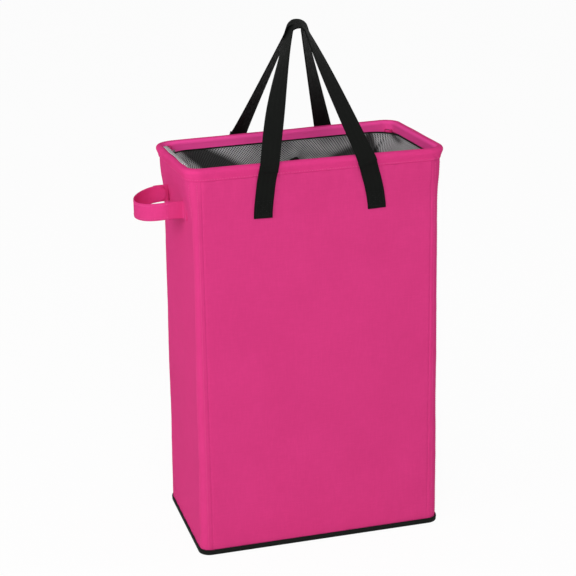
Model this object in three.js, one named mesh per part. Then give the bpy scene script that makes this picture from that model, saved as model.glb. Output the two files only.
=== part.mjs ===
// Slim pop up laundry hamper, in millimetres, +Z up.
// The front looks along -Y, the side handle is on -X, and the origin is the middle of the flat underside.
import * as THREE from 'three';

// Driving sizes of the body
const bodyWidth = 356;
const bodyDepth = 204;
const overallHeight = 560;
const cornerRadius = 15;
const wallThickness = 2;
const gap = 0.3;
const seamPastCorner = 2;

// Base
const baseFloor = 1.5;
const baseLip = 1.2;
const baseBandHeight = 8;
const boardThickness = 2.5;
const liningThickness = 1.2;

// Rim hem, a keyhole of cloth over a round hoop, open below so the walls tuck in
const hoopRadius = 3.4;
const hemCloth = 1.6;
const hemDrop = 18;
const ringInset = 1;
const hoopRoom = 0.4;
const wallTuck = 4;

// How far the walls draw in below the rim
const waist = 4.5;
const waistDrop = 62;
const flareDrop = 14;

// Corner rods, their caps, sleeves and rim loops
const rodRadius = 4;
const rodNeckRadius = 2.7;
const capWall = 1;
const capEnd = 2;
const capLength = 10;
const rodTopBelowRim = 12;
const loopWall = 1.2;
const loopHeight = 12;
const sleeveThickness = 1;
const sleeveWing = 10;
const sleeveRun = 12;

// Mesh collar that slopes in from the hem
const collarThickness = 1.2;
const collarCorner = 42;
const collarLowCorner = 40;
const collarDepth = 50;
const collarEndSlope = 42;
const collarSideSlope = 24;
const collarSagShare = 0.6;
const collarWave = 2.4;
const collarWaves = 33;
const collarHemHeight = 7;
const collarHemThickness = 3;
const collarTopBelowRim = 11;
const collarTuck = 0.9;

// Webbing handles
const webWidth = 25;
const webThickness = 1.5;
const webEndSpread = 80;
const webRimSpread = 68;
const webEndBelowRim = 75;
const handleFootBelowRim = 10;
const webLap = 6;
const webStep = 6;
const webSlack = 0.12;
const handleRise = 170;
const archRadius = 17.5;
const straightFoot = 12;

// Side handle
const sideHandleDrop = 72;
const sideAxisOff = 17;
const sideTabFoot = 20;
const sideArchRadius = 46;
const sideArchReach = 42;
const sideStrapThickness = 1.6;

// How finely round shapes are drawn
const cornerSteps = 6;
const rodSides = 20;
const archSteps = 10;
const legSteps = 14;
const hemArchSteps = 8;
const collarSteps = 198;
const sideArchSteps = 20;
const tipSteps = 8;

// Sizes that follow from the ones above
const halfWidth = bodyWidth / 2;
const halfDepth = bodyDepth / 2;
const wallBottom = baseFloor + gap;
const ringLineZ = overallHeight - hemCloth - gap - hoopRadius;
const hemInner = hoopRadius + hoopRoom;
const hemOuter = hemInner + hemCloth;
const hemArchZ = overallHeight - hemOuter;
const hemBottom = overallHeight - hemDrop;
const wallTop = hemArchZ - hemInner - wallTuck;
const hemInnerFace = ringInset + hemOuter;
const boardZ = baseFloor + gap;
const liningZ = boardZ + boardThickness + gap;
const liningTop = liningZ + liningThickness;
const insideInset = wallThickness + gap;
const loopOuterRadius = rodRadius + gap + loopWall;
const rodFromCorner = (cornerRadius - hemInnerFace - gap - loopOuterRadius) * Math.SQRT1_2;
const rodX = halfWidth - cornerRadius + rodFromCorner;
const rodY = halfDepth - cornerRadius + rodFromCorner;
const rodBottom = liningTop + gap;
const rodTop = overallHeight - rodTopBelowRim;

const materials = {
  cloth: () => new THREE.MeshStandardMaterial({ color: 0xd63f82, roughness: 0.62, metalness: 0 }),
  rimCloth: () => new THREE.MeshStandardMaterial({ color: 0xd82d7d, roughness: 0.6, metalness: 0 }),
  web: () => new THREE.MeshStandardMaterial({ color: 0x191c19, roughness: 0.75, metalness: 0 }),
  base: () => new THREE.MeshStandardMaterial({ color: 0x0f1210, roughness: 0.8, metalness: 0 }),
  mesh: () => new THREE.MeshStandardMaterial({ color: 0x6b6a6c, roughness: 0.85, metalness: 0 }),
  board: () => new THREE.MeshStandardMaterial({ color: 0x8d8d8a, roughness: 0.5, metalness: 0 }),
  rod: () => new THREE.MeshStandardMaterial({ color: 0xd8d8d4, roughness: 0.4, metalness: 0 }),
  cap: () => new THREE.MeshStandardMaterial({ color: 0x222222, roughness: 0.5, metalness: 0 }),
};

const hamper = new THREE.Group();
hamper.name = 'pop_up_laundry_hamper';

function addMesh(name, geometry, material, parent = hamper) {
  const mesh = new THREE.Mesh(geometry, material);
  mesh.name = name;
  parent.add(mesh);
  return mesh;
}

// Joins rings of points into one closed skin.
// Each ring is a closed loop in the same sense; the rings close on themselves or end in flat caps.
function skin(rings, closed, crossed = []) {
  const count = rings[0].length;
  const positions = [];
  const indices = [];
  rings.forEach((ring) => ring.forEach((p) => positions.push(p[0], p[1], p[2])));
  const spans = closed ? rings.length : rings.length - 1;
  for (let i = 0; i < spans; i += 1) {
    const a = i * count;
    const b = ((i + 1) % rings.length) * count;
    for (let j = 0; j < count; j += 1) {
      const k = (j + 1) % count;
      if (crossed.includes(j)) {
        indices.push(a + j, a + k, b + j);
        indices.push(a + k, b + k, b + j);
      } else {
        indices.push(a + j, a + k, b + k);
        indices.push(a + j, b + k, b + j);
      }
    }
  }
  if (!closed) {
    capRing(rings[0], 0, true, indices);
    capRing(rings[rings.length - 1], (rings.length - 1) * count, false, indices);
  }
  const geometry = new THREE.BufferGeometry();
  geometry.setAttribute('position', new THREE.Float32BufferAttribute(positions, 3));
  geometry.setIndex(indices);
  if (signedVolume(positions, indices) < 0) {
    for (let i = 0; i < indices.length; i += 3) {
      const swap = indices[i];
      indices[i] = indices[i + 1];
      indices[i + 1] = swap;
    }
    geometry.setIndex(indices);
  }
  geometry.computeVertexNormals();
  return geometry;
}

function signedVolume(positions, indices) {
  const point = (i) => new THREE.Vector3(positions[3 * i], positions[3 * i + 1], positions[3 * i + 2]);
  let sum = 0;
  for (let i = 0; i < indices.length; i += 3) {
    const a = point(indices[i]);
    const b = point(indices[i + 1]);
    const c = point(indices[i + 2]);
    sum += a.dot(b.cross(c));
  }
  return sum;
}

// Fills a flat end ring with triangles, in the ring's own plane.
function capRing(ring, start, backwards, indices) {
  const points = ring.map((p) => new THREE.Vector3(p[0], p[1], p[2]));
  const normal = new THREE.Vector3();
  points.forEach((p, i) => {
    const q = points[(i + 1) % points.length];
    normal.x += (p.y - q.y) * (p.z + q.z);
    normal.y += (p.z - q.z) * (p.x + q.x);
    normal.z += (p.x - q.x) * (p.y + q.y);
  });
  normal.normalize();
  const along = points[1].clone().sub(points[0]).normalize();
  const across = normal.clone().cross(along);
  const flat = points.map((p) => new THREE.Vector2(p.dot(along), p.dot(across)));
  THREE.ShapeUtils.triangulateShape(flat, []).forEach(([a, b, c]) => {
    if (backwards) indices.push(start + a, start + c, start + b);
    else indices.push(start + a, start + b, start + c);
  });
}

// A solid with a flat outline in X and Y between two heights.
function slab(outline, bottom, top) {
  const low = outline.map(([x, y]) => [x, y, bottom]);
  const high = outline.map(([x, y]) => [x, y, top]);
  return skin([low, high], false);
}

// Places on the rounded outline of the body, each with its outward direction.
function outlinePlaces(width, depth, radius, steps) {
  const places = [];
  const corners = [[1, 1, 0], [-1, 1, 1], [-1, -1, 2], [1, -1, 3]];
  corners.forEach(([sx, sy, turn]) => {
    for (let i = 0; i <= steps; i += 1) {
      const angle = (turn + i / steps) * Math.PI / 2;
      const dx = Math.cos(angle);
      const dy = Math.sin(angle);
      places.push({
        x: sx * (width / 2 - radius) + radius * dx,
        y: sy * (depth / 2 - radius) + radius * dy,
        dx,
        dy,
      });
    }
  });
  return places;
}

// Sweeps a section of (outward, height) points around places on an outline.
function sweep(section, places, closed) {
  const rings = places.map((p) => section.map(([out, z]) => [p.x + p.dx * out, p.y + p.dy * out, z]));
  return skin(rings, closed);
}

function turned(points, sides = rodSides) {
  const profile = points.map(([r, z]) => new THREE.Vector2(r, z));
  const geometry = new THREE.LatheGeometry(profile, sides);
  geometry.rotateX(Math.PI / 2);
  return geometry;
}

// Base: a black tray of cloth over the lower edge, a stiff board and a lining
function trayGeometry() {
  const outer = outlinePlaces(bodyWidth, bodyDepth, cornerRadius, cornerSteps);
  const ring = (out, z) => outer.map((p) => [p.x + p.dx * out, p.y + p.dy * out, z]);
  const edge = gap + baseLip;
  const rings = [ring(edge, 0), ring(edge, baseBandHeight), ring(gap, baseBandHeight), ring(gap, baseFloor)];
  return skin(rings, false);
}

function outlineAt(out) {
  return outlinePlaces(bodyWidth, bodyDepth, cornerRadius, cornerSteps)
    .map((p) => [p.x + p.dx * out, p.y + p.dy * out]);
}

addMesh('base_cover', trayGeometry(), materials.base());
addMesh('base_board', slab(outlineAt(-insideInset), boardZ, boardZ + boardThickness), materials.board());
addMesh('base_lining', slab(outlineAt(-insideInset), liningZ, liningTop), materials.mesh());

// Walls: flat front and back panels, and end panels that wrap the corners up to the seams
const waistZ = overallHeight - waistDrop;
const flareZ = overallHeight - flareDrop - hemOuter;
const wallFace = [[0, wallBottom], [-waist, waistZ], [-waist / 2, (waistZ + flareZ) / 2], [0, flareZ], [0, wallTop]];
const wallBack = wallFace.map(([out, z]) => [out - wallThickness, z]).reverse();
const wallSection = [...wallFace, ...wallBack];

// How far out the face of the wall lies at a height.
function wallOutAt(z) {
  for (let i = 1; i < wallFace.length; i += 1) {
    const [lowOut, lowZ] = wallFace[i - 1];
    const [highOut, highZ] = wallFace[i];
    if (z <= highZ) return lowOut + (highOut - lowOut) * (z - lowZ) / (highZ - lowZ);
  }
  return 0;
}
const seamX = halfWidth - cornerRadius - seamPastCorner;

function straightWall(side) {
  const places = [1, -1].map((end) => ({
    x: side * end * (seamX - gap / 2),
    y: side * halfDepth,
    dx: 0,
    dy: side,
  }));
  return sweep(wallSection, places, false);
}

function endWall(side) {
  const places = outlinePlaces(bodyWidth, bodyDepth, cornerRadius, cornerSteps)
    .filter((p) => p.x * side > 0);
  const order = side > 0 ? places.filter((p) => p.y < 0).concat(places.filter((p) => p.y > 0)) : places;
  const endX = side * (seamX + gap / 2);
  const first = order[0].y > 0 ? 1 : -1;
  const before = { x: endX, y: first * halfDepth, dx: 0, dy: first };
  const after = { x: endX, y: -first * halfDepth, dx: 0, dy: -first };
  return sweep(wallSection, [before, ...order, after], false);
}

addMesh('front_panel', straightWall(-1), materials.cloth());
addMesh('back_panel', straightWall(1), materials.cloth());
addMesh('left_end_panel', endWall(-1), materials.cloth());
addMesh('right_end_panel', endWall(1), materials.cloth());

// Corner rods with caps, the sleeves on the walls and the loops on the rim
const sleeveRadius = rodRadius + gap + sleeveThickness / 2;
const behindWall = wallThickness + gap + sleeveThickness / 2;

// Middle line of one sleeve at a height, from the end wall round the rod to the front or back wall.
function sleeveLine(flipX, flipY, z) {
  const wallFaceX = halfWidth + wallOutAt(z) - behindWall;
  const wallFaceY = halfDepth + wallOutAt(z) - behindWall;
  const points = [];
  const startY = rodY - sleeveRun;
  const startX = rodX - sleeveRun;
  points.push([wallFaceX, startY - sleeveWing]);
  points.push([wallFaceX, startY]);
  const toRod = Math.atan2(startY - rodY, wallFaceX - rodX);
  const reach = Math.acos(sleeveRadius / Math.hypot(startY - rodY, wallFaceX - rodX));
  const from = toRod - reach;
  const to = -Math.PI * 3 / 2 - from;
  for (let i = 0; i <= cornerSteps; i += 1) {
    const angle = from + (to - from) * i / cornerSteps;
    points.push([rodX + sleeveRadius * Math.cos(angle), rodY + sleeveRadius * Math.sin(angle)]);
  }
  points.push([startX, wallFaceY]);
  points.push([startX - sleeveWing, wallFaceY]);
  return points.map(([x, y]) => [x * flipX, y * flipY]);
}

// Both edges of a line in X and Y that is given a thickness.
function edgesOf(line, thickness) {
  const half = thickness / 2;
  return line.map(([x, y], i) => {
    const [ax, ay] = line[Math.max(0, i - 1)];
    const [bx, by] = line[Math.min(line.length - 1, i + 1)];
    const before = Math.hypot(x - ax, y - ay) || 1;
    const after = Math.hypot(bx - x, by - y) || 1;
    let tx = (x - ax) / before + (bx - x) / after;
    let ty = (y - ay) / before + (by - y) / after;
    const length = Math.hypot(tx, ty);
    tx /= length;
    ty /= length;
    const end = i === 0 || i === line.length - 1;
    const turn = end ? 1 : (tx * (bx - x) + ty * (by - y)) / after;
    const out = half / turn;
    return [[x + ty * out, y - tx * out], [x - ty * out, y + tx * out]];
  });
}

// Gives a line in X and Y a thickness and a height; the line may change with height.
function bandAlong(lineAt, thickness, heights) {
  const levels = heights.map((z) => edgesOf(lineAt(z), thickness));
  const rings = levels[0].map((_, i) => {
    const up = levels.map((level, k) => [...level[i][0], heights[k]]);
    const down = levels.map((level, k) => [...level[i][1], heights[k]]).reverse();
    return [...up, ...down];
  });
  return skin(rings, false);
}

const rodLength = rodTop - rodBottom;
const neckLength = capLength - capEnd - gap;

function rodGeometry() {
  const neckEnd = rodLength - capEnd - gap;
  return turned([
    [0, capEnd + gap],
    [rodNeckRadius, capEnd + gap],
    [rodNeckRadius, capEnd + gap + neckLength],
    [rodRadius, capEnd + gap + neckLength],
    [rodRadius, neckEnd - neckLength],
    [rodNeckRadius, neckEnd - neckLength],
    [rodNeckRadius, neckEnd],
    [0, neckEnd],
  ]);
}

// A cup over the thinned end of a rod, closed end down at height zero.
function capGeometry() {
  return turned([
    [0, 0],
    [rodRadius - capWall, 0],
    [rodRadius, capWall],
    [rodRadius, capLength - gap],
    [rodNeckRadius + gap, capLength - gap],
    [rodNeckRadius + gap, capEnd],
    [0, capEnd],
  ]);
}

function loopGeometry() {
  return turned([
    [rodRadius + gap, 0],
    [loopOuterRadius, 0],
    [loopOuterRadius, loopHeight],
    [rodRadius + gap, loopHeight],
    [rodRadius + gap, 0],
  ]);
}

const corners = [
  ['front_left', -1, -1],
  ['front_right', 1, -1],
  ['back_left', -1, 1],
  ['back_right', 1, 1],
];

corners.forEach(([where, sx, sy]) => {
  const sleeveHeights = [liningTop + gap, ...wallFace.slice(1, -1).map(([, z]) => z), hemBottom - gap];
  const sleeve = bandAlong((z) => sleeveLine(sx, sy, z), sleeveThickness, sleeveHeights);
  addMesh(`sleeve_${where}`, sleeve, materials.mesh());
  const stand = new THREE.Group();
  stand.name = `rod_place_${where}`;
  stand.position.set(sx * rodX, sy * rodY, rodBottom);
  hamper.add(stand);
  addMesh(`rod_${where}`, rodGeometry(), materials.rod(), stand);
  addMesh(`rod_foot_${where}`, capGeometry(), materials.cap(), stand);
  const top = addMesh(`rod_tip_${where}`, capGeometry(), materials.cap(), stand);
  top.rotation.x = Math.PI;
  top.position.z = rodLength;
  const loop = addMesh(`rod_loop_${where}`, loopGeometry(), materials.web());
  loop.position.set(sx * rodX, sy * rodY, hemBottom + gap);
});

// Rim: round hoop inside the hem
function ringSection(radius, middleOut, middleZ, sides) {
  const section = [];
  for (let i = 0; i < sides; i += 1) {
    const angle = i / sides * Math.PI * 2;
    section.push([middleOut + radius * Math.cos(angle), middleZ + radius * Math.sin(angle)]);
  }
  return section;
}

const neckShare = 0.14;
const neckZ = hemBottom + hemCloth;
const legOuter = gap + hemCloth;
const legInner = -wallThickness - gap - hemCloth;

// One side of the keyhole, from the open foot up round the arch, as (outward, height) points.
function hemSide(radius, legOut, legBack, reverse) {
  const side = [[legOut, hemBottom], [legOut, neckZ]];
  for (let i = 0; i <= hemArchSteps; i += 1) {
    const angle = (i / hemArchSteps * (1 + 2 * neckShare) - neckShare) * Math.PI;
    side.push([radius * Math.cos(angle) - ringInset, hemArchZ + radius * Math.sin(angle)]);
  }
  side.push([legBack, neckZ], [legBack, hemBottom]);
  return reverse ? side.reverse() : side;
}

function hemSection() {
  const outer = hemSide(hemOuter, legOuter, legInner, false);
  const inner = hemSide(hemInner, legOuter - hemCloth, legInner + hemCloth, true);
  return [...outer, ...inner];
}

const rimPlaces = outlinePlaces(bodyWidth, bodyDepth, cornerRadius, cornerSteps);
const hoopSection = ringSection(hoopRadius, -ringInset, ringLineZ, rodSides / 2);
addMesh('rim_hoop', sweep(hoopSection, rimPlaces, true), materials.rod());
addMesh('rim_hem', sweep(hemSection(), rimPlaces, true), materials.rimCloth());

// Mesh collar: waves grow toward its gathered lower edge
const collarTop = overallHeight - collarTopBelowRim;
const collarBottom = collarTop - collarDepth;
const collarInset = hemInnerFace - collarTuck;

// Evenly spaced places round the rounded outline of the collar.
function evenPlaces(width, depth, radius, count) {
  const straightX = width - 2 * radius;
  const straightY = depth - 2 * radius;
  const arc = Math.PI / 2 * radius;
  const total = 2 * (straightX + straightY) + 4 * arc;
  const runs = [
    [straightY, 0, 1, 0],
    [arc, 1, 1, 1],
    [straightX, 1, 1, 2],
    [arc, -1, 1, 3],
    [straightY, -1, 1, 4],
    [arc, -1, -1, 5],
    [straightX, -1, -1, 6],
    [arc, 1, -1, 7],
  ];
  const places = [];
  for (let i = 0; i < count; i += 1) {
    let along = i / count * total;
    let index = 0;
    while (along > runs[index][0]) {
      along -= runs[index][0];
      index += 1;
    }
    const side = index % 2 === 0;
    const quarter = Math.floor(index / 2);
    const angle = side ? quarter * Math.PI / 2 : (quarter + along / arc) * Math.PI / 2;
    const dx = Math.cos(angle);
    const dy = Math.sin(angle);
    let x = 0;
    let y = 0;
    if (side) {
      const forward = along - runs[index][0] / 2;
      x = dx * width / 2 - dy * forward;
      y = dy * depth / 2 + dx * forward;
    } else {
      const [, sx, sy] = runs[index];
      x = sx * straightX / 2 + radius * dx;
      y = sy * straightY / 2 + radius * dy;
    }
    places.push({ x, y, dx, dy, share: i / count });
  }
  return places;
}

const collarTopPlaces = evenPlaces(
  bodyWidth - 2 * collarInset,
  bodyDepth - 2 * collarInset,
  collarCorner,
  collarSteps,
);
const collarLowPlaces = evenPlaces(
  bodyWidth - 2 * (collarInset + collarEndSlope),
  bodyDepth - 2 * (collarInset + collarSideSlope),
  collarLowCorner,
  collarSteps,
);

function waveAt(share) {
  return collarWave * Math.sin(share * collarWaves * Math.PI * 2);
}

// A point on the collar at a share of the way down, moved out along the outline's own direction.
function collarPoint(i, down, out, z) {
  const top = collarTopPlaces[i];
  const low = collarLowPlaces[i];
  const shift = out + down * waveAt(low.share);
  return [
    top.x + (low.x - top.x) * down + low.dx * shift,
    top.y + (low.y - top.y) * down + low.dy * shift,
    z,
  ];
}

function collarGeometry() {
  const low = collarBottom + collarHemHeight + gap;
  const middle = collarTop - (collarTop - low) * collarSagShare;
  const rings = collarTopPlaces.map((_, i) => [
    collarPoint(i, 0, 0, collarTop),
    collarPoint(i, 1 / 2, 0, middle),
    collarPoint(i, 1, 0, low),
    collarPoint(i, 1, -collarThickness, low),
    collarPoint(i, 1 / 2, -collarThickness, middle),
    collarPoint(i, 0, -collarThickness, collarTop),
  ]);
  return skin(rings, true);
}

function collarHemGeometry() {
  const high = collarBottom + collarHemHeight;
  const outer = (collarHemThickness - collarThickness) / 2;
  const inner = outer - collarHemThickness;
  const rings = collarTopPlaces.map((_, i) => [
    collarPoint(i, 1, outer, high),
    collarPoint(i, 1, outer, collarBottom),
    collarPoint(i, 1, inner, collarBottom),
    collarPoint(i, 1, inner, high),
  ]);
  return skin(rings, true);
}

addMesh('mesh_collar', collarGeometry(), materials.mesh());
addMesh('collar_hem', collarHemGeometry(), materials.base());

// Sewn ends of the webbing handles: up the panel, over the step to the hem and up its face
const webClear = gap + webThickness / 2;
const hemFaceY = halfDepth - ringInset + hemOuter;
const hemWebY = hemFaceY + webClear;
const handleY = hemWebY + webThickness + gap;
const handleFootZ = overallHeight - handleFootBelowRim;
const webEndZ = overallHeight - webEndBelowRim;
const webTopZ = handleFootZ + webLap;
const leanX = (webEndSpread - webRimSpread) / webEndBelowRim;
const webLineX = (z) => webEndSpread - (z - webEndZ) * leanX;

// Sweeps a flat strap through stations of middle point, across direction and face direction.
// Both faces are split along the same diagonal, so the strap keeps its thickness where it twists.
function strap(stations, width, thickness) {
  const halfAcross = width / 2;
  const halfFace = thickness / 2;
  const rings = stations.map(({ at, across, face }) => {
    const corner = (a, f) => at.clone()
      .addScaledVector(across, a * halfAcross)
      .addScaledVector(face, f * halfFace)
      .toArray();
    return [corner(1, 1), corner(-1, 1), corner(-1, -1), corner(1, -1)];
  });
  return skin(rings, false, [2]);
}

// The sewn end lies on the wall, steps out over the foot of the hem and lies on its round face.
function webEnd(sx, sy) {
  const onWall = [webEndZ, waistZ, (waistZ + flareZ) / 2, flareZ - webStep]
    .map((z) => [z, halfDepth + wallOutAt(z) + webClear + webSlack]);
  const overFoot = [hemBottom, halfDepth + legOuter + webClear + webSlack];
  const onHem = [[hemArchZ - hemInner, hemWebY], [webTopZ, hemWebY]];
  const stations = [...onWall, overFoot, ...onHem].map(([z, y]) => ({
    at: new THREE.Vector3(sx * webLineX(z), sy * y, z),
    across: new THREE.Vector3(1, 0, 0),
    face: new THREE.Vector3(0, sy, 0),
  }));
  return strap(stations, webWidth, webThickness);
}

[['front', -1], ['back', 1]].forEach(([where, sy]) => {
  [['left', -1], ['right', 1]].forEach(([hand, sx]) => {
    addMesh(`${where}_handle_end_${hand}`, webEnd(sx, sy), materials.web());
  });
});

// Handle loops: each leg leans in and turns a quarter until both loops lie side by side at the top
const apexY = webWidth / 2 + gap;
const apexZ = overallHeight + handleRise - webThickness / 2;
const archZ = apexZ - archRadius;
const bendZ = handleFootZ + straightFoot;
const legFoot = { x: webLineX(handleFootZ), z: handleFootZ };
const legBend = { x: webLineX(bendZ), z: bendZ };

function handleStations(sy) {
  const reach = Math.hypot(legBend.x, archZ - legBend.z);
  const down = Math.atan2(archZ - legBend.z, legBend.x);
  const touch = Math.acos(archRadius / reach) - down;
  const touchX = archRadius * Math.cos(touch);
  const touchZ = archZ + archRadius * Math.sin(touch);
  const half = [];
  half.push({ x: legFoot.x, y: handleY, z: legFoot.z, turn: 0, upright: true });
  for (let i = 0; i <= legSteps; i += 1) {
    const share = i / legSteps;
    half.push({
      x: legBend.x + (touchX - legBend.x) * share,
      y: handleY + (apexY - handleY) * share,
      z: legBend.z + (touchZ - legBend.z) * share,
      turn: share * share * (3 - 2 * share),
      upright: i === 0,
    });
  }
  for (let i = 1; i <= archSteps; i += 1) {
    const angle = touch + (Math.PI / 2 - touch) * i / archSteps;
    half.push({ x: archRadius * Math.cos(angle), y: apexY, z: archZ + archRadius * Math.sin(angle), turn: 1 });
  }
  const other = half.slice(0, -1).reverse().map((p) => ({ ...p, x: -p.x, left: true }));
  const line = half.concat(other);
  return line.map((p, i) => {
    const at = new THREE.Vector3(p.x, sy * p.y, p.z);
    const a = line[Math.max(0, i - 1)];
    const b = line[Math.min(line.length - 1, i + 1)];
    const along = new THREE.Vector3(b.x - a.x, sy * (b.y - a.y), b.z - a.z);
    if (p.upright) along.set(0, 0, p.left ? -1 : 1);
    along.normalize();
    const flat = new THREE.Vector3(1, 0, 0).addScaledVector(along, -along.x).normalize();
    const turned = new THREE.Vector3(0, 1, 0).addScaledVector(along, -along.y).normalize();
    if (turned.dot(new THREE.Vector3(0, 1, 0)) < 0) turned.negate();
    const sign = p.left ? -1 : 1;
    const angle = p.turn * Math.PI / 2;
    const side = along.clone().cross(flat);
    const goal = Math.atan2(turned.dot(side), turned.dot(flat));
    const start = sign > 0 ? 0 : Math.PI;
    let sweepAngle = goal - start;
    while (sweepAngle > Math.PI) sweepAngle -= 2 * Math.PI;
    while (sweepAngle < -Math.PI) sweepAngle += 2 * Math.PI;
    const now = start + sweepAngle * (angle / (Math.PI / 2));
    const across = p.turn === 1
      ? turned.clone()
      : flat.clone().multiplyScalar(Math.cos(now)).addScaledVector(side, Math.sin(now));
    const face = across.clone().cross(along).normalize();
    return { at, across, face };
  });
}

addMesh('front_handle', strap(handleStations(-1), webWidth, webThickness), materials.web());
addMesh('back_handle', strap(handleStations(1), webWidth, webThickness), materials.web());

// Side handle: two sewn tabs stand off the left end and a looped strap is lapped inside them
const sideZ = overallHeight - sideHandleDrop;
const sideHalf = webWidth / 2;
const sideWallX = halfWidth + wallOutAt(sideZ + sideHalf);
const sideAxisX = sideWallX + sideAxisOff;
const sideFootX = sideWallX + gap + sideStrapThickness / 2;
const sideLoopY = sideArchRadius;
const sideTabY = sideLoopY + sideStrapThickness + gap;

function tabGeometry(sy) {
  const line = [
    [-sideFootX, sy * (sideTabY + sideTabFoot)],
    [-sideFootX, sy * (sideTabY + sideStrapThickness)],
    [-sideFootX - sideStrapThickness, sy * sideTabY],
    [-sideAxisX - sideHalf / 2, sy * sideTabY],
  ];
  return bandAlong(() => line, sideStrapThickness, [sideZ - sideHalf, sideZ + sideHalf]);
}

// The strap's ends are round in side view so the strap can swing about its ends.
function sideHandleGeometry() {
  const stations = [];
  for (let i = 0; i <= tipSteps; i += 1) {
    const angle = Math.PI / 2 * (1 - i / tipSteps);
    const reach = Math.sin(angle) * sideHalf;
    const half = Math.cos(angle) * sideHalf;
    const tall = Math.max(half, sideStrapThickness);
    stations.push({ x: -sideAxisX + reach, y: sideLoopY, nx: 0, ny: 1, half: tall });
  }
  for (let i = 1; i <= sideArchSteps; i += 1) {
    const angle = Math.PI / 2 + Math.PI * i / sideArchSteps;
    const outward = new THREE.Vector2(Math.cos(angle) / sideArchReach, Math.sin(angle) / sideArchRadius);
    outward.normalize();
    stations.push({
      x: -sideAxisX + sideArchReach * Math.cos(angle),
      y: sideArchRadius * Math.sin(angle),
      nx: outward.x,
      ny: outward.y,
      half: sideHalf,
    });
  }
  for (let i = 1; i <= tipSteps; i += 1) {
    const angle = Math.PI / 2 * i / tipSteps;
    const reach = Math.sin(angle) * sideHalf;
    const half = Math.cos(angle) * sideHalf;
    const tall = Math.max(half, sideStrapThickness);
    stations.push({ x: -sideAxisX + reach, y: -sideLoopY, nx: 0, ny: -1, half: tall });
  }
  const thick = sideStrapThickness / 2;
  const rings = stations.map((s) => [
    [s.x + s.nx * thick, s.y + s.ny * thick, sideZ - s.half],
    [s.x + s.nx * thick, s.y + s.ny * thick, sideZ + s.half],
    [s.x - s.nx * thick, s.y - s.ny * thick, sideZ + s.half],
    [s.x - s.nx * thick, s.y - s.ny * thick, sideZ - s.half],
  ]);
  return skin(rings, false);
}

addMesh('side_handle_tab_front', tabGeometry(-1), materials.cloth());
addMesh('side_handle_tab_back', tabGeometry(1), materials.cloth());
addMesh('side_handle', sideHandleGeometry(), materials.cloth());

export default hamper;
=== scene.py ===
# %% [markdown]
# # A slim pop up laundry hamper
# A tall box of pink cloth with a padded round rim, a black base and black webbing handles.
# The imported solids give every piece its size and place. This lesson dresses them in cloth.

# %% Load the frame
import math

import bpy
import numpy as np
from mathutils import Matrix


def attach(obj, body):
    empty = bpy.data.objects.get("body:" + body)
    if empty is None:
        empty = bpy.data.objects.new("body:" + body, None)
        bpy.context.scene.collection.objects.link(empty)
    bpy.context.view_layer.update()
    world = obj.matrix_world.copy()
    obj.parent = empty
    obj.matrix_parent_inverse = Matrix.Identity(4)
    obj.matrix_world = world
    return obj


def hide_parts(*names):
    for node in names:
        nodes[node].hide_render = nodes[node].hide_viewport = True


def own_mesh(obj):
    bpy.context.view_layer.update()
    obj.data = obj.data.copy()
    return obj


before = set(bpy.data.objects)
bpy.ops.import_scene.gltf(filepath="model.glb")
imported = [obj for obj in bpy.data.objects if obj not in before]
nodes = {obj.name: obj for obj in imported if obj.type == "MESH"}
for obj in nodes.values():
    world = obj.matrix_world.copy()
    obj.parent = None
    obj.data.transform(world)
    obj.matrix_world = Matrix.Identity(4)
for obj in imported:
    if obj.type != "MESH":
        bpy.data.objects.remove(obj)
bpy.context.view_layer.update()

# %% [markdown]
# ## Camera
# The photo was taken from a little left of the front and from above the rim, with a long lens.
# The camera is placed by its turn, height, roll and distance from a point inside the hamper.

# %% Place the camera
PHOTO = 576
VIEW_TURN, VIEW_RISE, VIEW_ROLL = math.radians(-16.055), math.radians(18.181), math.radians(-0.785)
VIEW_DISTANCE, FOCAL_PIXELS = 2.199665, 1541.328
VIEW_POINT = np.array([-0.017087, 0.0, 0.349714])


def camera_axes():
    back = np.array([math.sin(VIEW_TURN) * math.cos(VIEW_RISE),
                     -math.cos(VIEW_TURN) * math.cos(VIEW_RISE), math.sin(VIEW_RISE)])
    right = np.array([math.cos(VIEW_TURN), math.sin(VIEW_TURN), 0.0])
    up = np.cross(back, right)
    rolled = math.cos(VIEW_ROLL) * right + math.sin(VIEW_ROLL) * up
    raised = -math.sin(VIEW_ROLL) * right + math.cos(VIEW_ROLL) * up
    return rolled, raised, back


bpy.ops.object.camera_add()
camera = bpy.context.object
camera.name = "photo_camera"
right, up, back = camera_axes()
eye = VIEW_POINT + back * VIEW_DISTANCE
camera.matrix_world = Matrix([[right[i], up[i], back[i], eye[i]] for i in range(3)] + [[0, 0, 0, 1]])
camera.data.sensor_width = 36
camera.data.lens = 36 * FOCAL_PIXELS / PHOTO
camera.data.clip_end = 20
bpy.context.scene.camera = camera
print("camera at", [round(c, 3) for c in eye], "lens", round(camera.data.lens, 1), "mm")

# %% [markdown]
# ## Studio
# A white floor and white surroundings, a broad lamp in front and weaker ones at the sides.
# Only the camera, and what is seen in reflections, meets the pure white; the cloth is lit softly.

# %% Floor, world and lamps
FLOOR_SIZE, FLOOR_DROP = 16, 0.0004
FLOOR_COLOUR, FLOOR_WHITE_SHARE, WORLD_LIGHT = (0.9, 0.9, 0.9), 0.95, 0.42
scene = bpy.context.scene
scene.view_settings.view_transform = "Standard"

bpy.ops.object.select_all(action="DESELECT")
bpy.ops.mesh.primitive_plane_add(size=FLOOR_SIZE, location=(0, 0, -FLOOR_DROP))
floor = bpy.context.object
floor.name = "studio_floor"


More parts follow.
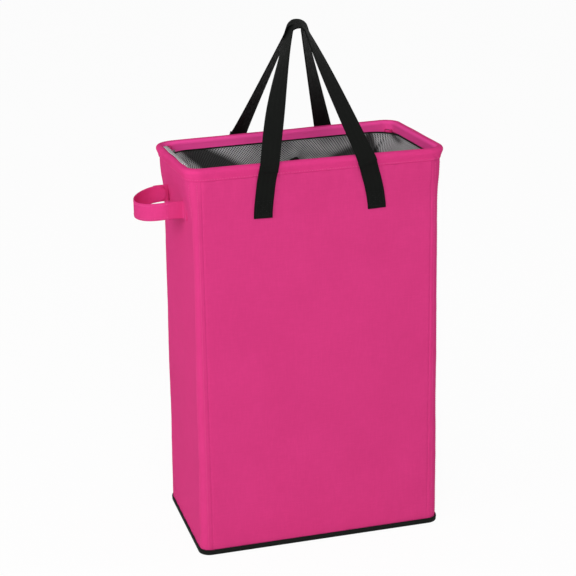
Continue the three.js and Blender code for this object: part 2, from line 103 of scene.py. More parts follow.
def seen_directly(tree):
    """An output that is 1 for camera, glossy and transmission rays."""
    rays = tree.nodes.new("ShaderNodeLightPath")
    found = rays.outputs["Is Camera Ray"]
    for kind in ("Is Glossy Ray", "Is Transmission Ray"):
        either = tree.nodes.new("ShaderNodeMath")
        either.operation = "MAXIMUM"
        tree.links.new(found, either.inputs[0])
        tree.links.new(rays.outputs[kind], either.inputs[1])
        found = either.outputs[0]
    return found


def floor_finish():
    material = bpy.data.materials.new("pale_floor")
    material.use_nodes = True
    tree = material.node_tree
    tree.nodes.clear()
    out = tree.nodes.new("ShaderNodeOutputMaterial")
    mix = tree.nodes.new("ShaderNodeMixShader")
    plain = tree.nodes.new("ShaderNodeBsdfDiffuse")
    plain.inputs["Color"].default_value = (*FLOOR_COLOUR, 1)
    white = tree.nodes.new("ShaderNodeEmission")
    white.inputs["Color"].default_value = (1, 1, 1, 1)
    share = tree.nodes.new("ShaderNodeMath")
    share.operation = "MULTIPLY"
    share.inputs[1].default_value = FLOOR_WHITE_SHARE
    tree.links.new(seen_directly(tree), share.inputs[0])
    tree.links.new(share.outputs[0], mix.inputs["Fac"])
    tree.links.new(plain.outputs[0], mix.inputs[1])
    tree.links.new(white.outputs[0], mix.inputs[2])
    tree.links.new(mix.outputs[0], out.inputs["Surface"])
    return material


floor.data.materials.append(floor_finish())

world = bpy.data.worlds.new("studio_world")
scene.world = world
world.use_nodes = True
tree = world.node_tree
background = tree.nodes["Background"]
background.inputs["Color"].default_value = (1, 1, 1, 1)
level = tree.nodes.new("ShaderNodeMapRange")
level.inputs["To Min"].default_value = WORLD_LIGHT
level.inputs["To Max"].default_value = 1.0
tree.links.new(seen_directly(tree), level.inputs["Value"])
tree.links.new(level.outputs["Result"], background.inputs["Strength"])


def lamp(name, place, target, size, power):
    bpy.ops.object.light_add(type="AREA", location=place)
    light = bpy.context.object
    light.name = name
    light.data.size = size
    light.data.energy = power
    away = np.array(place, float) - np.array(target, float)
    away /= np.linalg.norm(away)
    side = np.cross([0, 0, 1], away)
    side /= np.linalg.norm(side)
    top = np.cross(away, side)
    light.matrix_world = Matrix([[side[i], top[i], away[i], place[i]] for i in range(3)] + [[0, 0, 0, 1]])
    return light


MIDDLE = (0, 0, 0.35)
lamp("front_lamp", (-0.9, -2.6, 1.9), MIDDLE, 2.0, 49)
lamp("left_lamp", (-2.6, -0.7, 1.2), MIDDLE, 1.6, 28)
lamp("right_lamp", (2.4, -0.4, 1.4), MIDDLE, 1.6, 7)

# %% [markdown]
# ## Sizes
# These repeat the main sizes of the solids, in metres. The rounder rim corners, the longer left end
# and the corner heights were fitted to the photo.

# %% Sizes shared by the pieces
MM = 0.001
WIDTH, DEPTH, HEIGHT, CORNER = 356 * MM, 204 * MM, 560 * MM, 15 * MM
GAP, WALL = 0.3 * MM, 2 * MM
WAIST, WAIST_Z, FLARE_Z = 4.5 * MM, 498 * MM, 541 * MM
HEM_BOTTOM, HEM_CLOTH, HOOP_ROOM, RING_INSET = 542 * MM, 1.6 * MM, 3.8 * MM, 1 * MM
HEM_ROUND = HOOP_ROOM + HEM_CLOTH
HEM_ARCH_Z = HEIGHT - HEM_ROUND
WEB, WEB_THICK = 25 * MM, 1.5 * MM
STRAIGHT_X, STRAIGHT_Y, ARC = WIDTH / 2 - CORNER, DEPTH / 2 - CORNER, math.pi / 2 * CORNER
AROUND = 4 * (STRAIGHT_X + STRAIGHT_Y + ARC)
SEAM = STRAIGHT_X - 2 * MM
RIM_CORNER, RIM_LONGER = 22.5 * MM, 1.8 * MM
CORNER_DROP = {(-1, -1): -0.2 * MM, (1, -1): 3 * MM, (-1, 1): -6.5 * MM, (1, 1): 1.2 * MM}
STITCH_STEP, THREAD_RISE = 3.6 * MM, 0.05 * MM
print("length round the body", round(AROUND, 4), "m")

# %% [markdown]
# ## Helpers for cloth
# Every cloth piece is a grid of points in space that gets a thickness with round edges.
# The grid's own distances, in metres, become its UV map, so a weave follows the cloth.

# %% Points on the outline of the body
def rounded_box(s, width, depth, radius):
    """Places and outward directions at distances s round a box, from the middle of the front, going right."""
    reach_x, reach_y, arc = width / 2 - radius, depth / 2 - radius, math.pi / 2 * radius
    s = np.mod(np.asarray(s, float) + reach_x, 4 * (reach_x + reach_y + arc))
    x, y, turn, start = np.zeros_like(s), np.zeros_like(s), np.zeros_like(s), 0.0
    for quarter in range(4):
        side = (quarter - 1) * math.pi / 2
        cos, sin = round(math.cos(side)), round(math.sin(side))
        run, out = (reach_y, reach_x) if quarter % 2 else (reach_x, reach_y)
        straight = s >= start
        forward = s[straight] - start - run
        x[straight] = cos * (out + radius) - sin * forward
        y[straight] = sin * (out + radius) + cos * forward
        turn[straight] = side
        bend = s > start + 2 * run
        angle = side + (s[bend] - start - 2 * run) / radius
        x[bend] = cos * out - sin * run + radius * np.cos(angle)
        y[bend] = sin * out + cos * run + radius * np.sin(angle)
        turn[bend] = angle
        start += 2 * run + arc
    return x, y, np.cos(turn), np.sin(turn)


def outline(s):
    return rounded_box(s, WIDTH, DEPTH, CORNER)


def smooth(t):
    t = np.clip(t, 0, 1)
    return t * t * (3 - 2 * t)


def rim_outline(s):
    """The outline at the rim, where the hoop rounds the corners more and reaches a little further out."""
    s = np.mod(np.asarray(s, float), AROUND)
    x, y, dx, dy = outline(s)
    more = RIM_CORNER - CORNER
    for quarter, (sx, sy) in enumerate([(1, -1), (1, 1), (-1, 1), (-1, -1)]):
        start = (STRAIGHT_X, STRAIGHT_X + ARC + 2 * STRAIGHT_Y, 3 * STRAIGHT_X + 2 * ARC + 2 * STRAIGHT_Y,
                 3 * STRAIGHT_X + 3 * ARC + 4 * STRAIGHT_Y)[quarter]
        share = (s - start + more) / (ARC + 2 * more)
        inside = (share > 0) & (share < 1)
        angle = (quarter - 1) * math.pi / 2 + share[inside] * math.pi / 2
        x[inside] = sx * (WIDTH / 2 - RIM_CORNER) + RIM_CORNER * np.cos(angle)
        y[inside] = sy * (DEPTH / 2 - RIM_CORNER) + RIM_CORNER * np.sin(angle)
        dx[inside], dy[inside] = np.cos(angle), np.sin(angle)
    x = x - RIM_LONGER * smooth((-x - 120 * MM) / (50 * MM))
    return x, y, dx, dy


def body_outline(s, z):
    """The outline at height z: tight corners on the body, rounder ones toward the rim."""
    s, z = np.broadcast_arrays(np.asarray(s, float), np.asarray(z, float))
    x, y, dx, dy = outline(s)
    rx, ry, rdx, rdy = rim_outline(s)
    k = smooth((z - 470 * MM) / (72 * MM))
    dx, dy = dx + (rdx - dx) * k, dy + (rdy - dy) * k
    size = np.hypot(dx, dy)
    return x + (rx - x) * k, y + (ry - y) * k, dx / size, dy / size


def sag(x, y, z):
    """The soft rim isn't level: the back left corner hangs lower and the others stand a little higher."""
    a, b = np.clip(x / (WIDTH / 2), -1, 1), np.clip(y / (DEPTH / 2), -1, 1)
    total = sum(lift * (1 + sx * a) * (1 + sy * b) / 4 for (sx, sy), lift in CORNER_DROP.items())
    return total * smooth((z - 400 * MM) / (130 * MM))


def wall_out(z):
    """How far the wall's face lies outside the straight outline: it draws in, then flares to the rim."""
    z = np.asarray(z, float)
    return -WAIST * np.minimum(z / WAIST_Z, 1) + WAIST * smooth((z - 480 * MM) / (FLARE_Z - 480 * MM))


x, y, dx, dy = outline(np.linspace(0, AROUND, 9))
print("outline corners", np.round(x, 3), np.round(y, 3))

# %% Turn a grid of points into cloth with thickness
def add_mesh(name, verts, faces, uvs):
    mesh = bpy.data.meshes.new(name)
    mesh.from_pydata([tuple(v) for v in verts], [], [tuple(f) for f in faces])
    layer = mesh.uv_layers.new(name="cloth_map")
    layer.data.foreach_set("uv", np.asarray(uvs, np.float32).ravel())
    mesh.update()
    piece = bpy.data.objects.new(name, mesh)
    bpy.context.scene.collection.objects.link(piece)
    for face in mesh.polygons:
        face.use_smooth = True
    return piece


def face_outward(verts, faces, uvs):
    """The same faces and map corners, all turned round if the piece is inside out."""
    total = 0.0
    for f in faces:
        a = verts[f[0]]
        for k in range(1, len(f) - 1):
            total += float(np.dot(a, np.cross(verts[f[k]], verts[f[k + 1]])))
    if total >= 0:
        return faces, uvs
    sizes = np.cumsum([0] + [len(f) for f in faces])
    uvs = [uvs[j] for a, b in zip(sizes[:-1], sizes[1:]) for j in range(b - 1, a - 1, -1)]
    return [f[::-1] for f in faces], uvs


def cloth_area(piece):
    return sum(f.area for f in piece.data.polygons) / 2


def distances(points):
    """How far along a line each of its points lies."""
    return np.concatenate([[0], np.cumsum(np.linalg.norm(np.diff(points, axis=0), axis=1))])


def vertex_values(piece, name, values):
    """A number between 0 and 1 at each vertex, which a finish reads by its name."""
    layer = piece.data.attributes.new(name, "FLOAT", "POINT")
    layer.data.foreach_set("value", np.clip(values, 0, 1).astype(np.float32))


def grid_normals(p, closed):
    du = np.roll(p, -1, 0) - np.roll(p, 1, 0) if closed else np.gradient(p, axis=0)
    dv = np.gradient(p, axis=1)
    n = np.cross(du, dv)
    return n / np.maximum(np.linalg.norm(n, axis=2), 1e-12)[..., None]


def loops_to_piece(name, rows, u, v, closed):
    """Closed loops of points, one row each, skinned into one piece. u is per row and v per point."""
    count, size = rows.shape[:2]
    verts = rows.reshape(-1, 3)
    faces, uvs = [], []
    spans = count if closed else count - 1
    u_after = np.append(u, u[-1] + (u[-1] - u[-2]))
    for i in range(spans):
        for k in range(size):
            n = (k + 1) % size
            here, there = i * size, (i + 1) % count * size
            faces.append((here + k, here + n, there + n, there + k))
            uvs += [(u[i], v[k]), (u[i], v[n]), (u_after[i + 1], v[n]), (u_after[i + 1], v[k])]
    if not closed:
        half = size // 2
        for i, turned in ((0, True), (count - 1, False)):
            for k in range(half - 1):
                quad = [k, k + 1, size - 2 - k, size - 1 - k]
                quad = quad[::-1] if turned else quad
                faces.append(tuple(i * size + c for c in quad))
                uvs += [(u[i], v[c]) for c in quad]
    faces, uvs = face_outward(verts, faces, uvs)
    return add_mesh(name, verts, faces, uvs)


def shell(name, points, thickness, u, v, closed=False):
    """Cloth through a grid of middle points, with rounded edges. u and v are distances in metres."""
    p = np.asarray(points, float)
    n = grid_normals(p, closed)
    half = thickness / 2
    first, last = p[:, 0] - p[:, 1], p[:, -1] - p[:, -2]
    first /= np.linalg.norm(first, axis=1)[:, None]
    last /= np.linalg.norm(last, axis=1)[:, None]
    outer, inner = p + n * half, p - n * half
    rows = np.concatenate([
        (p[:, 0] + first * half * 0.6)[:, None], outer,
        (p[:, -1] + last * half * 0.6)[:, None], inner[:, ::-1]], axis=1)
    v_row = np.concatenate([[v[0]], v, [v[-1]], v[::-1]])
    u_row = np.asarray(u, float)
    if not closed:
        def end_row(i, beside):
            away = p[i] - p[beside]
            away /= np.linalg.norm(away, axis=1)[:, None]
            middle = np.concatenate([p[i][:1], p[i], p[i][-1:], p[i][::-1]])
            push = np.concatenate([away[:1], away, away[-1:], away[::-1]])
            return (middle + (rows[i] - middle) * 0.5 + push * half * 0.6)[None]
        rows = np.concatenate([end_row(0, 1), rows, end_row(-1, -2)])
        u_row = np.concatenate([[u_row[0]], u_row, [u_row[-1]]])
    # the loop starts at an edge point, so both caps fold flat across the thickness
    rows, v_row = np.roll(rows, -1, 1), np.roll(v_row, -1)
    piece = loops_to_piece(name, rows, u_row, v_row, closed)
    print(name, "cloth", round(float(u_row[-1] - u_row[0]), 3), "x",
          round(float(v_row.max() - v_row.min()), 3), "m, area", round(cloth_area(piece), 5))
    return piece


def wave_sum(a, b, seed, scale):
    """A soft, seeded unevenness from a few crossing waves, between about -1 and 1."""
    random = np.random.default_rng(seed)
    total = np.zeros(np.broadcast(a, b).shape)
    for _ in range(7):
        angle = random.uniform(0, math.pi)
        phase = random.uniform(0, 2 * math.pi)
        size = random.uniform(0.6, 1.7)
        across = a * math.cos(angle) + b * math.sin(angle)
        total = total + np.sin(across * 2 * math.pi / (scale * size) + phase)
    return total / 3.2


print("cloth helpers ready")

# %% [markdown]
# ## Finishes
# The pink cloth is a close, matt plain weave, a little uneven in colour.
# Each finish is built from nodes only. Patterns read the cloth's own map, so they never slide.
# The colours were adjusted until the render came near the photo; they weren't measured on cloth.

# %% Build the finishes
class Finish:
    """A small helper that adds nodes to one material."""

    def __init__(self, name, roughness, specular):
        self.material = bpy.data.materials.new(name)
        self.material.use_nodes = True
        self.tree = self.material.node_tree
        self.shader = self.tree.nodes["Principled BSDF"]
        self.shader.inputs["Roughness"].default_value = roughness
        self.shader.inputs["Specular IOR Level"].default_value = specular

    def link(self, out, into):
        self.tree.links.new(out, into)

    def node(self, kind, **values):
        made = self.tree.nodes.new(kind)
        for key, value in values.items():
            setattr(made, key, value)
        return made

    def math(self, operation, a, b=None):
        made = self.node("ShaderNodeMath", operation=operation)
        for slot, value in zip(made.inputs, (a, b)):
            if value is None:
                continue
            if isinstance(value, (int, float)):
                slot.default_value = value
            else:
                self.link(value, slot)
        return made.outputs[0]

    def map_uv(self):
        uv = self.node("ShaderNodeUVMap", uv_map="cloth_map")
        parts = self.node("ShaderNodeSeparateXYZ")
        self.link(uv.outputs["UV"], parts.inputs[0])
        return parts.outputs["X"], parts.outputs["Y"]

    def place(self):
        return self.node("ShaderNodeTexCoord").outputs["Object"]

    def noise(self, scale, detail=3.0, stretch=None):
        where = self.place()
        if stretch:
            turn = self.node("ShaderNodeMapping")
            turn.inputs["Scale"].default_value = stretch
            self.link(where, turn.inputs["Vector"])
            where = turn.outputs[0]
        made = self.node("ShaderNodeTexNoise")
        made.inputs["Scale"].default_value = scale
        made.inputs["Detail"].default_value = detail
        self.link(where, made.inputs["Vector"])
        return made.outputs["Fac"]

    def blend(self, share, first, second):
        made = self.node("ShaderNodeMix", data_type="RGBA")
        self.link(share, made.inputs["Factor"])
        for slot, value in ((made.inputs[6], first), (made.inputs[7], second)):
            if isinstance(value, tuple):
                slot.default_value = (*value, 1)
            else:
                self.link(value, slot)
        return made.outputs[2]

    def ramp(self, value, low, high):
        made = self.node("ShaderNodeMapRange", interpolation_type="SMOOTHSTEP")
        made.inputs["From Min"].default_value = low
        made.inputs["From Max"].default_value = high
        self.link(value, made.inputs["Value"])
        return made.outputs["Result"]

    def bump(self, height, distance, strength):
        made = self.node("ShaderNodeBump")
        made.inputs["Distance"].default_value = distance
        made.inputs["Strength"].default_value = strength
        self.link(height, made.inputs["Height"])
        self.link(made.outputs[0], self.shader.inputs["Normal"])

    def colour(self, out):
        self.link(out, self.shader.inputs["Base Color"])

    def rough(self, out, low, high):
        made = self.node("ShaderNodeMapRange")
        made.inputs["To Min"].default_value = low
        made.inputs["To Max"].default_value = high
        self.link(out, made.inputs["Value"])
        self.link(made.outputs["Result"], self.shader.inputs["Roughness"])


def weave_height(finish, pitch):
    """Over and under threads: high where a warp thread crosses over, low at the next crossing."""
    u, v = finish.map_uv()
    warp = finish.math("SINE", finish.math("MULTIPLY", u, 2 * math.pi / pitch))
    weft = finish.math("SINE", finish.math("MULTIPLY", v, 2 * math.pi / pitch))
    return finish.math("MULTIPLY", finish.math("ADD", finish.math("MULTIPLY", warp, weft), 1.0), 0.5)


def woven(name, light, dark, pitch, roughness, specular, depth, inner=None):
    """Plain weave, mottled between two colours. inner is the colour where inner_side is 1."""
    finish = Finish(name, roughness, specular)
    mottle = finish.ramp(finish.noise(14, 4), 0.3, 0.7)
    slubs = finish.ramp(finish.noise(60, 3, (1, 1, 9)), 0.35, 0.75)
    across = finish.ramp(finish.noise(60, 3, (9, 9, 1)), 0.35, 0.75)
    threads = weave_height(finish, pitch)
    uneven = finish.math("MULTIPLY", finish.math("ADD", finish.math("ADD", slubs, across), mottle), 1 / 3)
    tone = finish.math("ADD", finish.math("MULTIPLY", uneven, 0.7), finish.math("MULTIPLY", threads, 0.3))
    colour = finish.blend(tone, dark, light)
    if inner:
        facing = finish.node("ShaderNodeAttribute", attribute_name="inner_side").outputs["Fac"]
        colour = finish.blend(facing, colour, inner)
    finish.colour(colour)
    height = finish.math("ADD", threads, finish.math("MULTIPLY", uneven, 0.8))
    finish.bump(height, depth, 0.6)
    finish.rough(uneven, roughness - 0.06, roughness + 0.06)
    return finish.material


def webbing():
    """Black webbing: a close herringbone of ribs along its length."""
    finish = Finish("black_webbing", 0.7, 0.07)
    u, v = finish.map_uv()
    zigzag = finish.math("PINGPONG", v, 3.2 * MM)
    slant = finish.math("ADD", u, zigzag)
    ribs = finish.math("SINE", finish.math("MULTIPLY", slant, 2 * math.pi / (1.5 * MM)))
    height = finish.math("MULTIPLY", finish.math("ADD", ribs, 1.0), 0.5)
    fuzz = finish.ramp(finish.noise(220, 3), 0.3, 0.7)
    tone = finish.math("ADD", finish.math("MULTIPLY", height, 0.6), finish.math("MULTIPLY", fuzz, 0.4))
    finish.colour(finish.blend(tone, (0.002, 0.0024, 0.002), (0.0075, 0.0085, 0.0075)))
    finish.bump(height, 0.0004, 0.7)
    finish.rough(fuzz, 0.62, 0.8)
    return finish.material


def netting(name, low, high):
    """Net: slanting threads with holes between them. The holes are painted near black, as painted shade; the
    threads are darker, as painted shade, where net_painted_shade is high.
    """
    finish = Finish(name, 0.75, 0.12)
    u, v = finish.map_uv()
    pitch = 3.8 * MM
    one = finish.math("SINE", finish.math("MULTIPLY", u, 2 * math.pi / pitch))
    two = finish.math("SINE", finish.math("MULTIPLY", v, 2 * math.pi / pitch))
    holes = finish.ramp(finish.math("MULTIPLY", one, two), -0.05, 0.3)
    soft = finish.ramp(finish.noise(16, 3), 0.38, 0.62)
    threads = finish.blend(soft, (low, low, low * 1.01), (high, high, high * 1.01))
    painted_shade_share = finish.node("ShaderNodeAttribute", attribute_name="net_painted_shade").outputs["Fac"]
    # painted shade: threads go toward near black where the collar's painted shade share is high
    threads = finish.blend(painted_shade_share, threads, (0.03, 0.03, 0.03))
    # the holes are painted near black: painted shade for the dim inside seen through the net
    finish.colour(finish.blend(holes, threads, (0.008, 0.008, 0.008)))
    finish.bump(finish.math("SUBTRACT", 1.0, holes), 0.0004, 0.6)
    finish.rough(holes, 0.62, 0.8)
    return finish.material


def moulded(name, light, dark, roughness):
    """Smooth plastic or board with a fine grain and faint streaks."""
    finish = Finish(name, roughness, 0.45)
    grain = finish.noise(900, 3)
    streaks = finish.ramp(finish.noise(40, 4, (6, 6, 1)), 0.35, 0.7)
    finish.colour(finish.blend(streaks, dark, light))
    finish.bump(grain, 0.0001, 0.3)
    finish.rough(grain, roughness - 0.08, roughness + 0.08)
    return finish.material


# After the two colours: pitch of the weave, roughness, specular level and depth of the weave.
CLOTH, CANVAS = (0.9 * MM, 0.85, 0.03, 0.25 * MM), (1 * MM, 0.8, 0.1, 0.4 * MM)
THREAD = (0.5 * MM, 0.6, 0.1, 0.1 * MM)
pink_cloth = woven("pink_cloth", (0.70, 0.048, 0.228), (0.61, 0.038, 0.188), *CLOTH)
rim_cloth = woven("pink_rim_cloth", (0.75, 0.048, 0.24), (0.66, 0.038, 0.2), *CLOTH,
                  inner=(0.93, 0.078, 0.36))
black_cloth = woven("black_cloth", (0.010, 0.012, 0.010), (0.004, 0.005, 0.004), *CANVAS)
pink_thread = woven("pink_thread", (0.82, 0.13, 0.36), (0.68, 0.07, 0.25), *THREAD)
black_thread = woven("black_thread", (0.02, 0.02, 0.02), (0.008, 0.008, 0.008), *THREAD)
black_webbing = webbing()
grey_net = netting("grey_net", 0.22, 0.42)
# a lighter copy of the grey net: painted light for the fold at the left end that faces up into the light
painted_light_net = netting("painted_light_net", 0.5, 0.7)
white_plastic = moulded("white_plastic", (0.78, 0.78, 0.76), (0.66, 0.66, 0.64), 0.45)
black_plastic = moulded("black_plastic", (0.02, 0.02, 0.02), (0.01, 0.01, 0.01), 0.5)
grey_board = moulded("grey_board", (0.3, 0.3, 0.29), (0.22, 0.22, 0.21), 0.6)
print("finishes:", len([m for m in bpy.data.materials if m.use_nodes]))


def paint(piece, material):
    piece.data.materials.clear()
    piece.data.materials.append(material)


def finish_piece(piece, material, slot, body, *replaced):
    paint(piece, material)
    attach(piece, body)
    if replaced:
        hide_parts(*replaced)


# %% [markdown]
# ## Stitches
# On the real hamper a thread dips into the cloth every few millimetres, so each stitch shows as a
# short bead. One bead is modelled, and a row holds a copy of its mesh at every stitch.

# %% One stitch
BEAD_LONG, BEAD_WIDE, BEAD_HIGH = 1.25 * MM, 0.34 * MM, 0.27 * MM
bpy.ops.object.select_all(action="DESELECT")
bpy.ops.mesh.primitive_uv_sphere_add(segments=6, ring_count=4, radius=1)
bead = bpy.context.object
bead.name = "one_stitch"
bpy.ops.transform.resize(value=(BEAD_LONG, BEAD_WIDE, BEAD_HIGH))
bpy.ops.object.transform_apply(location=False, rotation=False, scale=True)
BEAD = np.array([v.co for v in bead.data.vertices])
BEAD_FACES = [tuple(f.vertices) for f in bead.data.polygons]
bpy.ops.object.delete()
print("one stitch has", len(BEAD_FACES), "faces")

# %% A row of stitches
def stitch_row(name, points, normals, share=1.0):
    """points are the middles of the stitches, each turned to the next one, and normals face out."""
    p, n = np.asarray(points, float), np.asarray(normals, float)
    t = np.gradient(p, axis=0)
    t /= np.maximum(np.linalg.norm(t, axis=1), 1e-12)[:, None]
    n = n - (n * t).sum(1)[:, None] * t
    n /= np.linalg.norm(n, axis=1)[:, None]
    b = np.cross(n, t)
    verts = (p[:, None] + t[:, None] * (BEAD[:, 0] * share)[None, :, None]
             + b[:, None] * BEAD[:, 1][None, :, None] + n[:, None] * BEAD[:, 2][None, :, None]).reshape(-1, 3)
    faces = [tuple(i * len(BEAD) + c for c in f) for i in range(len(p)) for f in BEAD_FACES]
    uvs = [(i * 2 * BEAD_LONG + BEAD[c, 0], BEAD[c, 1]) for i in range(len(p)) for f in BEAD_FACES for c in f]
    print(name, len(p), "stitches")
    return add_mesh(name, verts, faces, uvs)


# %% [markdown]
# ## Walls
# The front and back are flat panels; each end panel wraps two corners and meets them at a stitched
# seam. The cloth draws in a little below the rim and puckers along its seams, as sewn cloth does.

# %% The four walls
WALL_LOW, WALL_TOP = 1.8 * MM, 546.5 * MM
SEAMS = [SEAM, AROUND / 2 - SEAM, AROUND / 2 + SEAM, AROUND - SEAM]


def seam_distance(s):
    gaps = [np.abs(np.mod(s - seam + AROUND / 2, AROUND) - AROUND / 2) for seam in SEAMS]
    return np.minimum.reduce(gaps)


def wall_unevenness(s, z):
    """Sewing puckers at the seams, the rim and the base, over a slow unevenness of the panel."""
    near_seam = np.exp(-seam_distance(s) / (9 * MM))
    near_rim = np.exp(-np.maximum(HEM_BOTTOM - z, 0) / (14 * MM))
    near_base = np.exp(-np.maximum(z - 8 * MM, 0) / (12 * MM))
    middle = 1 - np.exp(-np.minimum(seam_distance(s), np.minimum(z, HEM_BOTTOM - z).clip(0)) / (25 * MM))
    slow = 0.8 * MM * wave_sum(s, z, 3, 0.19) * middle
    seam = 0.28 * MM * near_seam * np.sin(2 * math.pi * z / (17 * MM) + 2 * wave_sum(s * 0, z, 5, 0.06))
    rim = 0.3 * MM * near_rim * np.sin(2 * math.pi * s / (19 * MM) + 2 * wave_sum(s, z * 0, 7, 0.07))
    base = 0.25 * MM * near_base * np.sin(2 * math.pi * s / (26 * MM) + 2 * wave_sum(s, z * 0, 9, 0.09))
    edge = np.clip(seam_distance(s) / (6 * MM), 0, 1)
    fine = 0.12 * MM * wave_sum(s, z, 11, 0.03) * edge
    return slow + seam + rim + base + fine


def wall_points(s, z, out=0.0):
    x, y, dx, dy = body_outline(s, z)
    o = wall_out(z) + wall_unevenness(s, z) - 0.15 * MM + out
    return np.stack([x + dx * o, y + dy * o, z + sag(x, y, z)], axis=-1)


def wall_panel(name, start, end, node):
    s = np.linspace(start, end, int((end - start) / (3 * MM)) + 2)
    z = np.concatenate([np.linspace(WALL_LOW + 0.6 * MM, 470 * MM, 150), np.linspace(473 * MM, WALL_TOP, 34)])
    grid_s, grid_z = np.meshgrid(s, z, indexing="ij")
    points = wall_points(grid_s, grid_z, out=-WALL / 2)
    piece = shell(name, points, WALL - 0.2 * MM, s, z)
    finish_piece(piece, pink_cloth, "wall_cloth", "base", node)
    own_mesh(piece)


MEET = 0.1 * MM
for name, start, end, node in (("front_wall", -SEAM, SEAM, "front_panel"),
                               ("right_wall", SEAMS[0], SEAMS[1], "right_end_panel"),
                               ("back_wall", SEAMS[1], SEAMS[2], "back_panel"),
                               ("left_wall", SEAMS[2], SEAMS[3], "left_end_panel")):
    wall_panel(name, start + MEET, end - MEET, node)

# %% Seam stitches on the walls
for name, seam, side in (("front_right", SEAMS[0], 1), ("back_right", SEAMS[1], -1),
                         ("back_left", SEAMS[2], 1), ("front_left", SEAMS[3], -1)):
    z = np.arange(11 * MM, 538 * MM, STITCH_STEP)
    for label, beside in (("", side * 6.5 * MM), ("_corner", side * 20 * MM)):
        s = np.full_like(z, seam + beside)
        _, _, dx, dy = body_outline(s, z)
        row = stitch_row(f"seam_stitches_{name}{label}", wall_points(s, z, out=0.12 * MM),
                         np.stack([dx, dy, 0 * z], -1))
        finish_piece(row, pink_thread, "wall_cloth", "base")
        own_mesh(row)

# %% [markdown]
# ## Base
# The lower edge sits in a shallow black tray of cloth. A stiff board and a net lining lie in it.

# %% Black base and its lining
def ring_rows(section, s):
    """Closed loops of a section of (out, height) points at each place on the outline."""
    x, y, dx, dy = outline(s)
    out, z = np.array(section).T
    return np.stack([x[:, None] + dx[:, None] * out, y[:, None] + dy[:, None] * out,
                     np.broadcast_to(z, (len(s), len(z)))], axis=-1)


def flat_plate(name, inset, low, high, ripple=0.0):
    """A cloth or board with the body's rounded outline, as a grid with its corners drawn in."""
    half_x, half_y, radius = WIDTH / 2 - inset, DEPTH / 2 - inset, CORNER - inset
    x = np.concatenate([-half_x + radius * (1 - np.cos(np.linspace(0, math.pi / 2, 8))),
                        np.linspace(-half_x + radius, half_x - radius, 60)[1:-1],
                        half_x - radius * (1 - np.cos(np.linspace(math.pi / 2, 0, 8)))])
    over = np.maximum(np.abs(x) - (half_x - radius), 0)
    reach = half_y - radius + np.sqrt(np.maximum(radius ** 2 - over ** 2, 0))
    share = np.linspace(-1, 1, 40)
    grid_x = np.repeat(x[:, None], 40, 1)
    grid_y = reach[:, None] * share[None]
    z = (low + high) / 2 + ripple * wave_sum(grid_x, grid_y, 21, 0.08)
    return shell(name, np.stack([grid_x, grid_y, z], -1), high - low, x, share * half_y)


s = np.linspace(0, AROUND, 300, endpoint=False)
tray = [(0.3, 1.5), (0.3, 7.4), (0.5, 7.9), (0.95, 8.0), (1.35, 7.7),
        (1.5, 7.0), (1.6, 4.2), (1.5, 1.2), (1.2, 0.35), (0.5, 0.0)]
tray_rows = ring_rows([(o * MM, z * MM) for o, z in tray], s)
count, size = tray_rows.shape[:2]
lengths = np.array([i * AROUND / count for i in range(count + 1)])
faces, uvs = [], []
for i in range(count):
    for k in range(size - 1):
        here, there, u, after = i * size + k, (i + 1) % count * size + k, lengths[i], lengths[i + 1]
        faces.append((here, here + 1, there + 1, there))
        uvs += [(u, k * MM), (u, (k + 1) * MM), (after, (k + 1) * MM), (after, k * MM)]
flat_verts = tray_rows.reshape(-1, 3)
for k, order in ((0, 1), (size - 1, -1)):
    ring = [i * size + k for i in range(count)][::order]
    faces.append(tuple(ring))
    uvs += [tuple(flat_verts[c][:2]) for c in ring]
faces, uvs = face_outward(flat_verts, faces, uvs)
tray_piece = add_mesh("base_tray", flat_verts, faces, uvs)
finish_piece(tray_piece, black_cloth, "base_cloth", "base", "base_cover")
for face in tray_piece.data.polygons:
    face.use_smooth = len(face.vertices) == 4
print("base_tray area", round(cloth_area(tray_piece), 4))

lining = flat_plate("base_net", 2.6 * MM, 4.7 * MM, 5.7 * MM, 0.1 * MM)
finish_piece(lining, grey_net, "mesh_cloth", "base", "base_lining")
paint(nodes["base_board"], grey_board)

x, y, dx, dy = outline(np.arange(0, AROUND - 2 * MM, STITCH_STEP))
row = stitch_row("base_stitches", np.stack([x + dx * 1.62 * MM, y + dy * 1.62 * MM, 0 * x + 5.4 * MM], -1),
                 np.stack([dx, dy, 0 * x], -1))
finish_piece(row, black_thread, "base_cloth", "base")

# %% [markdown]
# ## Rim hem
# The hem is one strip folded over the hoop and stitched below it, so its section is a keyhole.
# It puckers at the stitches and stays full and round above them.

# %% The padded rim
def hem_section():
    """(out, height) points: up the outside, over the hoop, down the inside and back up behind it."""
    past_half = 0.12
    angles = np.linspace(-past_half, 1 + past_half, 26) * math.pi
    arch = [(HEM_ROUND * math.cos(a) - RING_INSET, HEM_ARCH_Z + HEM_ROUND * math.sin(a)) for a in angles]
    under = [(HOOP_ROOM * math.cos(a) - RING_INSET, HEM_ARCH_Z + HOOP_ROOM * math.sin(a))
             for a in angles[::-2]]
    outside = [(0.15, 0.0), (0.5, 0.3), (0.85, 1.6), (1.15, 3.2), (1.7, 5.0), (2.7, 7.4)]
    inside = [(-6.0, 7.0), (-5.8, 4.5), (-5.7, 2.2), (-5.5, 0.9), (-4.9, 0.5)]
    behind = [(-4.4, 1.2), (-4.4, 5.0)]
    front = [(0.7, 5.0), (0.35, 1.0)]
    lift = lambda points: [(o * MM, HEM_BOTTOM + z * MM) for o, z in points]
    return np.array(lift(outside) + arch + lift(inside) + lift(behind) + under + lift(front))


